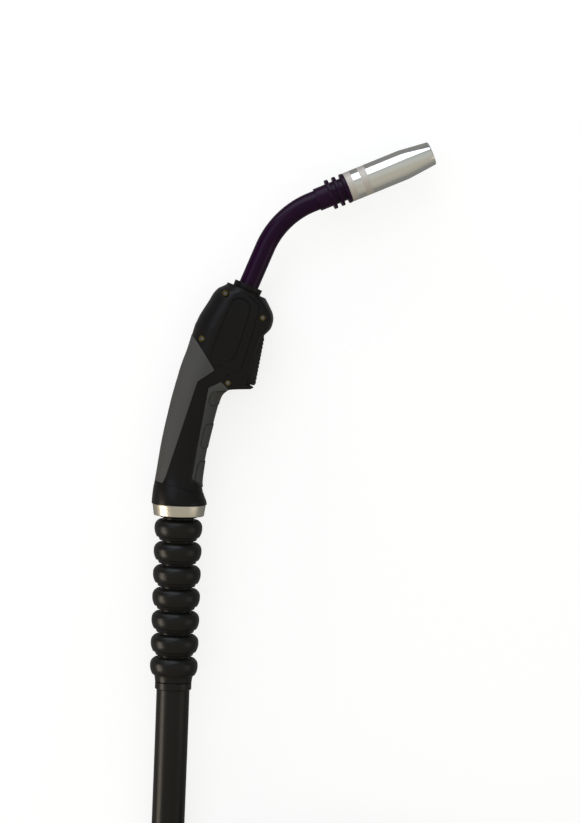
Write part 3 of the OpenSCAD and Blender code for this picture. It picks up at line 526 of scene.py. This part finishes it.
# neck, sleeve and nozzle: distances down the neck and out along the tip count from the corner of the bend
neck = {"corner": (78.8, 254.3), "lean": 68.4, "tipLean": 24.0, "bendR": 75.0, "radius": 8.75, "top": 69.8,
        "seat": 81.8, "foot": 89, "end": 57.5}
sleeveSize = {"start": 36, "radius": 10.1, "flangeR": 13.4, "flange": 3, "flangeAt": (47.6, 54.5, 61.4)}
nozzleSize = {"start": 64.7, "radius": 13.2, "bore": 10.9, "mouthR": 10.4, "mouthBore": 8.3, "length": 79.8}
leanUp, leanTip = math.radians(neck["lean"]), math.radians(neck["tipLean"])
corner = np.array(neck["corner"])
bendR = neck["bendR"]
bendT = bendR * math.tan((leanUp - leanTip) / 2)
neckDir = np.array([math.cos(leanUp), math.sin(leanUp)])
neckSide = np.array([-math.sin(leanUp), math.cos(leanUp)])
tipDir = np.array([math.cos(leanTip), math.sin(leanTip)])


# point s mm down the neck from the bend's corner
def neckAt(s):
    return (*(corner - neckDir * s), 0)


# point s mm out along the tip from the bend's corner
def tipAt(s):
    return (*(corner + tipDir * s), 0)


# straight, a circle's arc that touches both straights, and straight again
def neckLine(low, high):
    centre = corner - neckDir * bendT - bendR * neckSide
    angles = np.linspace(leanUp + math.pi / 2, leanTip + math.pi / 2, 49)
    bend = [(*(centre + bendR * np.array([math.cos(a), math.sin(a)])), 0) for a in angles]
    lower = [neckAt(s) for s in np.linspace(low, bendT + 1.5, 12)]
    return np.array([*lower, *bend, *(tipAt(s) for s in np.linspace(bendT + 1.5, high, 6))])


neckTube = tubeObject("neck_tube_looks", neckLine(neck["foot"], neck["end"]), neck["radius"], 96)
dress(neckTube, "neck_tube", "handle")
for node in ("neck_conductor", "wire_liner"):
    dress(copyNode(node, 0), node, "handle")
neckPlace = axisPlace(neckAt(neck["seat"]), (*neckDir, 0))
clampProfile = [(8.8, 0), (10.6, 0), (10.6, 10.3), (12.5, 10.3), (12.8, 15.8), (8.8, 15.8)]
dress(lathe("neck_clamp_looks", clampProfile, neckPlace, 128, 0.3), "neck_clamp_ring", "handle")
tipPlace = axisPlace(tipAt(0), (*tipDir, 0))
sleeve = [(8.85, sleeveSize["start"]), (sleeveSize["radius"], sleeveSize["start"])]
for s in sleeveSize["flangeAt"]:
    end = s + sleeveSize["flange"]
    sleeve += [(sleeveSize["radius"], s), (sleeveSize["flangeR"], s), (sleeveSize["flangeR"], end),
               (sleeveSize["radius"], end)]
sleeve = sleeve[:-1] + [(10.85, 64.4), (10.85, 77.7), (8.1, 77.7), (8.1, 58), (8.85, 58)]
dress(lathe("insulator_sleeve_looks", sleeve, tipPlace, 128, 0.35), "insulator_sleeve", "handle")
nozzlePlace = axisPlace(tipAt(nozzleSize["start"]), (*tipDir, 0))
nozzleSide = [(nozzleSize["radius"], h) for h in (0.4, 6, 13, 19.5, 35, 53)]
nozzleMouth = [(nozzleSize["mouthR"], nozzleSize["length"]), (nozzleSize["mouthBore"], nozzleSize["length"]),
               (nozzleSize["mouthBore"], 72.8)]
nozzleProfile = [(nozzleSize["bore"], 0), (12.8, 0), *nozzleSide, *nozzleMouth, (nozzleSize["bore"], 48)]
dress(lathe("gas_nozzle_looks", nozzleProfile, nozzlePlace, 192, 1.2), "gas_nozzle", "nozzle")
dress(copyNode("gas_diffuser", 0.2), "gas_diffuser", "handle")
tipProfile = [(0.8, 84.1), (2.95, 84.1), (2.95, 96.1), (4, 96.1), (4, 132.5), (2.48, 141.5), (0.8, 141.5)]
dress(lathe("contact_tip_looks", tipProfile, tipPlace, 64, 0.2), "contact_tip", "handle")
print("neck and nozzle done")

# handle: side stations from the foot up, each with back x y, front x y, half width, back and front roundness
topBack = np.array(neckAt(neck["top"])[:2]) + 16.2 * neckSide
topFront = np.array(neckAt(neck["top"])[:2]) - 17.4 * neckSide
stations = np.array([
    [-24.2, 0, 24.2, 0, 24.2, 24.1, 24.1], [-24, 4.5, 23.5, 3.5, 23.8, 23.6, 23.4],
    [-23.3, 12.5, 21.4, 8.5, 22.2, 22.4, 21], [-22.2, 19.5, 19.9, 15, 19.8, 21, 18.5],
    [-20.8, 29, 19.6, 24, 18.3, 20.4, 17], [-16.9, 57, 23.2, 50.7, 18, 20, 16.5],
    [-10.6, 89, 30.1, 82.5, 19, 20, 16], [-7.6, 101.5, 33, 93.6, 19.8, 20, 14],
    [-6.4, 106.5, 36.4, 98.7, 20.3, 20, 11], [-5.4, 110, 42.5, 101.6, 20.7, 20, 5],
    [-4.4, 114, 59, 102.8, 21.2, 20, 3], [-3.9, 116, 61.4, 104.2, 21.4, 20, 2.5],
    [-3.2, 118.5, 54.8, 107.4, 21.6, 20, 2.5], [-0.9, 126, 57, 115.5, 22, 20, 2.5],
    [2.6, 136, 60.3, 127.5, 22.2, 20, 2.5], [8, 155.5, 66, 147.4, 22.4, 20, 2.5],
    [9.8, 160, 69.4, 150, 22.4, 20, 4], [12, 165, 74.4, 154.8, 22.3, 20, 6],
    [14, 168.6, 76.3, 159.2, 22.2, 19.5, 6.5], [17, 173.6, 77.1, 164.2, 22, 19, 7],
    [20.3, 179, 76.2, 169.3, 21.4, 18, 8], [23.6, 185, 73.8, 174.4, 20.4, 17, 9],
    [27.6, 189.6, 71.3, 178.9, 19, 16, 11], [33.4, 192.4, 70, 181.2, 17.6, 15.5, 13],
    [*topBack, *topFront, 16.4, 15, 15]])
sharpStations = [10, 11, 12, 22, 23, 24]
backEdge = [(-40, 14), (-17, 17.3), (-13.6, 24.2), (11.1, 108.8), (25.5, 118.9), (-5, 165.5), (-40, 165.5)]
frontEdge = [(9.2, 23.8), (20.8, 103.3), (31.5, 109), (39.6, 101.3), (60, 60), (60, 8), (30, 11), (19, 14.6)]
panelEdge = [(22.8, 138.2), (37.4, 176.4), (41, 180.8), (45.1, 182.2), (49.5, 181.2), (53.2, 178),
             (54.5, 173.4), (53, 164.6), (43.9, 134.6), (40.5, 129), (29.1, 122.1), (25.8, 120.4),
             (20.4, 128.6)]
cheekLine = [(50.4, 186), (55.5, 182.8), (60.2, 178.4), (62, 171.5), (50.2, 125.8), (46.6, 119.4),
             (36.5, 114.2)]
shellSize = {"inset": 0.3, "wall": 3.4, "pocket": 1.7, "pocketGap": 0.12, "panel": 0.8, "bay": 11.6,
             "seatR": 10.8}
screws = [(33.2, 185.6, 14.6), (14, 145.8, 17.2), (66, 165.7, 20.6), (37.6, 108.2, 20)]    # x, y, seat
screwHole = {"head": 3.2, "insert": 2.75, "insertDepth": 9, "far": 3.0, "farDepth": 2.4}
padSize = {"depth": 1.6, "patches": [(14.5, 38), (50, 71), (88, 100)], "inset": 3.2, "lean": 0.146,
           "rise": 0.55, "patchDepth": 1.2, "groove": 0.35}
grooveLook = {"width": 0.5, "depth": 1.3}
collarRim = {"y": 14.8, "tilt": math.radians(13.5), "bore": 12.5, "bevel": 0.5}
neckStep = {"radius": 18.0, "bore": 11, "foot": 5.0, "top": 10.8, "collar": 12.6}    # from the clamp's seat
trigger = {"x": 64.5, "y": 153.5, "lean": math.radians(-9), "back": -13.4, "front": 5.6}


# cubic through the stations; a sharp station has no tangent, so the outline keeps its corner
def finerStations(steps):
    s = stations
    t = np.zeros_like(s)
    t[1:-1] = (s[2:] - s[:-2]) / 2
    t[sharpStations] = 0
    u = np.arange(steps)[None, :, None] / steps
    a, b, ta, tb = s[:-1, None], s[1:, None], t[:-1, None], t[1:, None]
    out = (2 * u ** 3 - 3 * u ** 2 + 1) * a + (u ** 3 - 2 * u ** 2 + u) * ta
    out = out + (3 * u ** 2 - 2 * u ** 3) * b + (u ** 3 - u ** 2) * tb
    return np.concatenate([out.reshape(-1, 7), s[-1:]])


# sections of the handle: a quarter of an ellipse at the back and at the front of each cheek, mirrored in z;
# 'inset' draws the section in all round
def formRings(inset, steps=6, backSteps=20, frontSteps=16):
    s = finerStations(steps)
    back, front = s[:, 0:2], s[:, 2:4]
    span = np.linalg.norm(front - back, axis=1)
    e = (front - back) / span[:, None]
    h = (s[:, 4] - inset)[:, None]
    rb, rf = np.maximum(s[:, 5] - inset, 1)[:, None], np.maximum(s[:, 6] - inset, 1)[:, None]
    wb = np.linspace(0, np.pi / 2, backSteps + 1)[None]
    wf = np.linspace(0, np.pi / 2, frontSteps + 1)[None]
    x = np.concatenate([inset + rb * (1 - np.cos(wb)), span[:, None] - inset - rf * (1 - np.sin(wf))], 1)
    z = np.concatenate([h * np.sin(wb), h * np.cos(wf)], 1)
    x, z = np.concatenate([x, x[:, -2:0:-1]], 1), np.concatenate([z, -z[:, -2:0:-1]], 1)
    return np.concatenate([back[:, None] + e[:, None] * x[..., None], z[..., None]], -1)


# the handle's full form as a closed solid, drawn in by 'inset'
def formObject(name, inset):
    verts, faces = skinMesh(row(formRings(inset)))
    return meshObject(name, verts, faces)


# upright column over an outline, its corners rounded by 'soft' and its sides moved out by 'grow'
def columnObject(edge, grow=0.0, low=-60, high=60, soft=1.5):
    p = rounded(edge, soft, True) if soft else np.asarray(edge, float)
    if grow:
        d = np.roll(p, -1, 0) - np.roll(p, 1, 0)
        d /= np.linalg.norm(d, axis=1)[:, None]
        p = p + grow * np.stack([d[:, 1], -d[:, 0]], -1) * (1 if signedArea(p) > 0 else -1)
    rings = np.stack([np.c_[p, np.full(len(p), z)] for z in (low, high)])
    verts, faces = skinMesh(row(rings))
    return meshObject("cutter", verts, faces)


# upright cylinder of 64 sides
def roundCutter(x, y, r, low, high):
    w = np.linspace(0, 2 * math.pi, 64, endpoint=False)
    return columnObject(np.c_[x + r * np.cos(w), y + r * np.sin(w)], 0, low, high, soft=0)


# closed outline of a line of the given width
def ribbon(line, width):
    p = curveThrough(line, 6)
    d = np.gradient(p, axis=0)
    d /= np.linalg.norm(d, axis=1)[:, None]
    side = np.stack([-d[:, 1], d[:, 0]], -1) * width / 2
    return np.concatenate([p + side, (p - side)[::-1]])


# tall box under the slanted rim of the collar
def belowRim(gap=0.0):
    c, s = math.cos(collarRim["tilt"]), math.sin(collarRim["tilt"])
    corners = [(-90, -150), (90, -150), (90, 0), (-90, 0)]
    return columnObject([(x * c + y * s, collarRim["y"] + gap - x * s + y * c) for x, y in corners], soft=0)


# what lies outside the surface 'depth' under the skin, within an edge
def sunkObject(edge, depth, grow=0.0, soft=1.5):
    ob = columnObject(edge, grow, soft=soft)
    boolean(ob, "DIFFERENCE", formObject("core", depth))
    return ob


# points given from the trigger's pivot, along its lean
def atPivot(points):
    c, s = math.cos(trigger["lean"]), math.sin(trigger["lean"])
    return [(trigger["x"] + x * c - y * s, trigger["y"] + x * s + y * c) for x, y in points]


# tool for a narrow groove along a line
def grooveAlong(line):
    return sunkObject(ribbon(line, grooveLook["width"]), grooveLook["depth"], soft=0)


shells = formObject("shells", shellSize["inset"])
boolean(shells, "DIFFERENCE", belowRim(0.1),
        sunkObject(backEdge, shellSize["pocket"], shellSize["pocketGap"]),
        sunkObject(frontEdge, shellSize["pocket"], shellSize["pocketGap"]),
        sunkObject(panelEdge, shellSize["panel"], soft=2.5),
        grooveAlong(cheekLine), grooveAlong(panelEdge[:-2]))
# the trigger's bay is open to the front, and closed in front of the pivot
for right, low, high in ((30, -48, -3.5), (trigger["front"], -4, 6)):
    bay = atPivot([(trigger["back"], low), (right, low), (right, high), (trigger["back"], high)])
    boolean(shells, "DIFFERENCE", columnObject(bay, 0, -shellSize["bay"], shellSize["bay"], soft=0))
for x, y, z in screws:
    boolean(shells, "DIFFERENCE", roundCutter(x, y, screwHole["head"], z, 40),
            roundCutter(x, y, screwHole["insert"], z - screwHole["insertDepth"], z + 1),
            roundCutter(x, y, screwHole["far"], -40, -z + screwHole["farDepth"]))
seat = lathe("seat", [(shellSize["seatR"], -30), (shellSize["seatR"], 60)], neckPlace, 96, 0.01, closed=False)
stepTop, stepBore = neckStep["top"], neckStep["collar"]
aboveProfile = [(stepBore, stepTop), (34, stepTop), (34, 30), (stepBore, 30)]
aboveStep = lathe("aboveStep", aboveProfile, neckPlace, 96, 0.01)
boolean(shells, "DIFFERENCE", seat, aboveStep, formObject("inside", shellSize["wall"]))
for name, low, high in (("handle_shell_right", 0.0, 60), ("handle_shell_left", -60, 0.0)):
    half = shells.copy()
    half.data = shells.data.copy()
    half.name = name + "_looks"
    intoScene(half)
    sideBox = columnObject([(-100, -40), (150, -40), (150, 260), (-100, 260)], 0, low, high, soft=0)
    boolean(half, "INTERSECT", sideBox)
    smooth(half, 30)
    dress(half, name, "handle")
bpy.data.objects.remove(shells)
stepProfile = [(neckStep["bore"], neckStep["foot"]), (neckStep["radius"], neckStep["foot"]),
               (neckStep["radius"], stepTop), (neckStep["bore"], stepTop)]
dress(lathe("neck_step", stepProfile, neckPlace, 128, 0.6), "handle_shell_right", "handle", False)


# pad that fills the pocket within an edge, up to the handle's full form
def gripPad(edge):
    pad = sunkObject(edge, padSize["depth"])
    boolean(pad, "INTERSECT", formObject("form", 0))
    boolean(pad, "DIFFERENCE", belowRim(0.1))
    return pad


# raised finger patch between two heights, with a groove round it; its back follows the lean of the pad's edge
def addPatch(pad, low, high):
    edgeX, edgeY = frontEdge[0]
    foot, top = [edgeX + (y - edgeY) * padSize["lean"] + padSize["inset"] for y in (low, high)]
    edge = [(foot + 2.2, low), (60, low), (60, high), (top + 1.6, high), (top, high - 2.6), (foot, low + 3)]
    boolean(pad, "DIFFERENCE", sunkObject(edge, padSize["groove"], padSize["groove"]))
    patch = sunkObject(edge, padSize["patchDepth"])
    boolean(patch, "INTERSECT", formObject("form", -padSize["rise"]),
            columnObject(frontEdge, -padSize["inset"] * 0.35))
    boolean(patch, "DIFFERENCE", belowRim(1.4))
    boolean(pad, "UNION", patch)


backPad, frontPad = gripPad(backEdge), gripPad(frontEdge)
for low, high in padSize["patches"]:
    addPatch(frontPad, low, high)
for pad, node in ((backPad, "back_grip_pad"), (frontPad, "front_grip_pad")):
    pad.name = node + "_looks"
    smooth(pad, 30)
    dress(pad, node, "handle")

collar = formObject("base_collar_looks", 0)
boolean(collar, "INTERSECT", belowRim())
bore = lathe("bore", [(collarRim["bore"], -30), (collarRim["bore"], 60)], cableAxis, 96, 0.01, closed=False)
boolean(collar, "DIFFERENCE", bore)
addBevel(collar, collarRim["bevel"], 50)
applyModifiers(collar)
smooth(collar, 30)
dress(collar, "base_collar", "handle")
print("handle done")

# trigger: a packed copy with saw teeth down its face, drawn from its pivot
teeth = {"root": 4.6, "rise": 0.75, "first": -5.0, "pitch": 3.4, "count": 12, "low": -47.4, "half": 11.0}


# fine ribs cut off and a saw-tooth strip joined: each tooth rises from the root, runs out and drops back
def toothedTrigger():
    ob = copyNode("trigger", 0)
    root, low, half = teeth["root"], teeth["low"], teeth["half"]
    ribs = [(root - 0.1, -2.6), (root + 4, -2.6), (root + 4, low - 1), (root - 0.1, low - 1)]
    boolean(ob, "DIFFERENCE", columnObject(atPivot(ribs), 0, -20, 20, soft=0))
    line = [(root - 0.9, -2.7), (root, -2.7)]
    for i in range(teeth["count"]):
        y = teeth["first"] - i * teeth["pitch"]
        point = (root + teeth["rise"], y - teeth["pitch"] + 0.5)
        line += [(root, y), (root + teeth["rise"] * 0.6, y - 0.5), point]
    line += [(root, low + 0.6), (root - 0.9, low)]
    boolean(ob, "UNION", columnObject(atPivot(line), 0, -half, half, soft=0))
    smooth(ob, 30)
    return ob


dress(toothedTrigger(), "trigger", "trigger_lever")
for node, bevel, body in (("case_screws", 0.25, "handle"), ("brass_inserts", 0.3, "handle"),
                          ("trigger_pin", 0.2, "handle"), ("switch_carrier", 0.2, "handle"),
                          ("microswitch", 0.2, "handle"), ("power_block", 0.4, "handle"),
                          ("switch_leads", 0, "handle"), ("switch_plunger", 0.2, "switch_button")):
    dress(copyNode(node, bevel), node, body)


# round wire on a helix: 'turns' times round local z over the given length
def springObject(name, place, coilR, wireR, length, turns):
    t = np.linspace(0, 1, int(turns * 24) + 1)
    w = 2 * np.pi * turns * t
    pts = np.stack([coilR * np.cos(w), coilR * np.sin(w), length * t], -1)
    route = pts @ place[:3, :3].T + place[:3, 3]
    return tubeObject(name, route, wireR, 10, tuple(place[:3, 2]))


triggerSpring = {"foot": -12.15, "y": -34, "coilR": 2.95, "wireR": 0.45, "length": 13.8, "turns": 6}
pinSpring = {"coilR": 1.35, "wireR": 0.3, "length": 6.2, "turns": 4}
springStart = (*atPivot([(triggerSpring["foot"], triggerSpring["y"])])[0], 0)
springDir = (math.cos(trigger["lean"]), math.sin(trigger["lean"]), 0)
spring = springObject("trigger_spring_looks", axisPlace(springStart, springDir), triggerSpring["coilR"],
                      triggerSpring["wireR"], triggerSpring["length"], triggerSpring["turns"])
dress(spring, "trigger_spring", "handle")
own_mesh(spring)
for side, joint in ((-1, "pin_near_press"), (1, "pin_far_press")):
    start = (plugX + plugSize["springFoot"], plugY + side * plugSize["pinRing"], plugZ)
    piece = springObject("pin_spring_%s" % joint.split("_")[1], axisPlace(start, (1, 0, 0)), **pinSpring)
    dress(piece, "pin_springs", "cable_set", ["pin_springs"] if side < 0 else False)
    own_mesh(piece)
print("inside pieces done")

# world: white to the camera; elsewhere a room that is dark behind the object and pale in front of it
roomLook = {"behind": "5c6264", "frontLow": "ccc8bb", "frontHigh": "e2e6e4", "toward": (0.1, -0.35, 0.93),
            "depth": (-0.35, 0.9), "height": (-0.3, 0.5), "strength": 0.9}
world = bpy.data.worlds.new("studio")
scene.world = world
tree = emptyTree(world)
coords = addNode(tree, "TexCoord").outputs["Generated"]
towards = {0: coords, 1: unit(roomLook["toward"]).tolist()}
facing = addNode(tree, "VectorMath", towards, operation="DOT_PRODUCT").outputs["Value"]
height = addNode(tree, "SeparateXYZ", {0: coords}).outputs["Y"]
nearMin, nearMax = roomLook["depth"]
depth = addNode(tree, "MapRange", {"From Min": nearMin, "From Max": nearMax, 0: facing}).outputs[0]
lowMin, highMax = roomLook["height"]
ramp = addNode(tree, "MapRange", {"From Min": lowMin, "From Max": highMax, 0: height}).outputs[0]
low, high = linear(roomLook["frontLow"]), linear(roomLook["frontHigh"])
front = addNode(tree, "Mix", data_type="RGBA", values={0: ramp, 6: low, 7: high}).outputs[2]
behind = linear(roomLook["behind"])
shade = addNode(tree, "Mix", data_type="RGBA", values={0: depth, 6: behind, 7: front}).outputs[2]
room = addNode(tree, "Background", {0: shade, 1: roomLook["strength"]})
white = addNode(tree, "Background", {0: (1, 1, 1, 1), 1: 1.0})
seen = addNode(tree, "LightPath").outputs["Is Camera Ray"]
either = addNode(tree, "MixShader", {0: seen, 1: room.outputs[0], 2: white.outputs[0]})
addNode(tree, "OutputWorld", {0: either.outputs[0]})

# floor: white to the camera where it is lit, dim in the metal's reflections, open from below
floorLook = {"halfSize": 1.6, "height": -0.0002, "grey": 0.32, "camera": 0.78, "mirror": 0.05}


# grey that also glows: by 'camera' for the camera's rays, by 'mirror' for reflected and transmitted ones
def paleFloor():
    mat = bpy.data.materials.new("paleFloor")
    tree = emptyTree(mat)
    rays = addNode(tree, "LightPath").outputs
    mirrored = {0: rays["Is Glossy Ray"], 1: rays["Is Transmission Ray"]}
    mirror = addNode(tree, "Math", mirrored, operation="MAXIMUM").outputs[0]
    level = addNode(tree, "Math", {0: mirror, 1: floorLook["mirror"]}, operation="MULTIPLY").outputs[0]
    direct = {0: rays["Is Camera Ray"], 1: floorLook["camera"], 2: level}
    total = addNode(tree, "Math", direct, operation="MULTIPLY_ADD").outputs[0]
    diffuse = addNode(tree, "BsdfDiffuse", {"Color": (*[floorLook["grey"]] * 3, 1)}).outputs[0]
    glow = addNode(tree, "Emission", {"Strength": total}).outputs[0]
    both = addNode(tree, "AddShader", {0: diffuse, 1: glow}).outputs[0]
    clear = addNode(tree, "BsdfTransparent").outputs[0]
    below = addNode(tree, "NewGeometry").outputs["Backfacing"]
    surface = addNode(tree, "MixShader", {0: below, 1: both, 2: clear}).outputs[0]
    addNode(tree, "OutputMaterial", {0: surface})
    return mat


floorMesh = bpy.data.meshes.new("floor")
corners = [(-1, -1), (1, -1), (1, 1), (-1, 1)]
floorVerts = [(x * floorLook["halfSize"], y * floorLook["halfSize"], floorLook["height"]) for x, y in corners]
floorMesh.from_pydata(floorVerts, [], [(0, 1, 2, 3)])
floorMesh.materials.append(paleFloor())
floor = intoScene(bpy.data.objects.new("floor", floorMesh))

# lamps: 'at' is right, up and toward in metres, seen from the camera, around the picture's middle
lamps = {
    "keyLeft": {"at": (-1.6, -0.5, 0.3), "size": (0.8, 1.0), "watts": 17, "colour": "fff1dc"},
    "topStrip": {"at": (-0.6, 1.62, 0.5), "size": (2.7, 1.2), "watts": 23, "colour": "eef4ff"},
    "fillRight": {"at": (2.1, -0.5, 0.8), "size": (1.3, 1.0), "watts": 3.4, "colour": "fff4e6"},
    "shoulderSoft": {"at": (-1.08, 0.91, 1.69), "size": (1.2, 1.2), "watts": 5, "colour": "d4e3ff"},
}
for name, lamp in lamps.items():
    data = bpy.data.lights.new(name, "AREA")
    data.shape = "RECTANGLE"
    data.size, data.size_y = lamp["size"]
    data.energy = lamp["watts"]
    data.color = linear(lamp["colour"])[:3]
    ob = intoScene(bpy.data.objects.new(name, data))
    right, up, toward = lamp["at"]
    offset = viewRight * right + viewUp * up + viewDir * toward
    back = unit(offset)
    side = unit(np.cross(viewUp, back))
    ob.matrix_world = lookMatrix(side, np.cross(back, side), back, lookAt + offset)
    ob.visible_camera = False
scene.view_settings.view_transform = "Standard"
scene.view_settings.look = "None"
print("light done")
